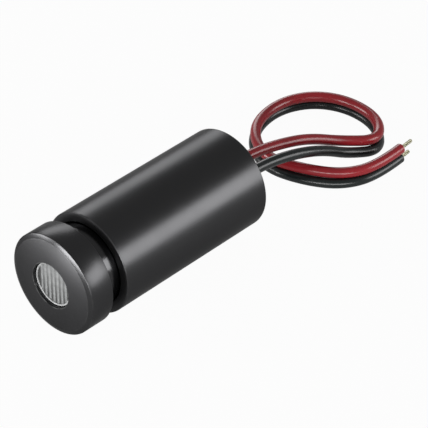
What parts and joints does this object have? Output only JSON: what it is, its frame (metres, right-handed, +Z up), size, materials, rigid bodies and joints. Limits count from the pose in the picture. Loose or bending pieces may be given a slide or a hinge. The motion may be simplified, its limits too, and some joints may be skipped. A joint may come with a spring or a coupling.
{
  "type": "laser diode module",
  "caption": "Cylindrical line laser module with a screw-in focusing head, a ribbed line lens in its round aperture, and a red and a black supply lead looped behind it.",
  "frame": {"origin": "on the optical axis, half way along the housing", "axes": "+Y along the optical axis from the lens end to the leads; +Z up, with the module lying on a bench; +X to the right when the lens end is looked at"},
  "size_m": [0.014, 0.0408, 0.009],
  "materials": {
    "black_anodised": "turned and black anodised, satin",
    "clear_lens": "clear, polished",
    "black_moulding": "moulded, matt",
    "turned_brass": "turned, bare",
    "spring_steel": "drawn spring wire, bright",
    "gold_plate": "thin gold plate over steel",
    "can_metal": "pressed and nickel plated",
    "white_ceramic": "fired, matt",
    "semiconductor": "cleaved crystal",
    "bead_glass": "fused dark glass",
    "board_laminate": "green solder mask over glass fibre",
    "solder_tin": "tin solder, satin",
    "dark_ceramic": "glazed film on ceramic",
    "tan_ceramic": "fired, matt",
    "tinned_copper": "twisted copper strands, tinned",
    "red_jacket": "soft extruded insulation, satin",
    "black_jacket": "soft extruded insulation, satin"
  },
  "bodies": {
    "module": {"housing": "black_anodised", "diode_holder": "turned_brass", "diode_header": "gold_plate", "diode_cap": "can_metal", "diode_window": "clear_lens", "submount": "white_ceramic", "laser_chip": "semiconductor", "monitor_photodiode": "semiconductor", "diode_glass_seals": "bead_glass", "diode_pins": "gold_plate", "driver_board": "board_laminate", "driver_chip": "black_moulding", "driver_chip_legs": "solder_tin", "resistors": "dark_ceramic", "capacitors": "tan_ceramic", "protection_diode": "black_moulding", "solder_joints": "solder_tin", "lead_inner_ends": "tinned_copper", "rear_plug": "black_moulding", "red_lead": "red_jacket", "black_lead": "black_jacket", "red_lead_tip": "tinned_copper", "black_lead_tip": "tinned_copper"},
    "focus_carriage": {"focus_spring": "spring_steel"},
    "focusing_head": {"focus_head": "black_anodised", "line_lens": "clear_lens", "line_lens_ring": "black_moulding", "collimating_lens": "clear_lens", "collimator_ring": "turned_brass"}
  },
  "joints": [
    {"name": "focus_travel", "type": "slide", "parent": "module", "child": "focus_carriage", "axis": [0, 1, 0], "range_m": [-0.0005, 0.0015], "deforming": ["focus_spring"]},
    {"name": "focus_turn", "type": "hinge", "parent": "focus_carriage", "child": "focusing_head", "pos_m": [0, -0.0076, 0], "axis": [0, 1, 0], "range_deg": [-361, 1081]}
  ],
  "couplings": [
    {"joint": "focus_turn", "follows": "focus_travel", "rad_per_m": 12566}
  ]
}
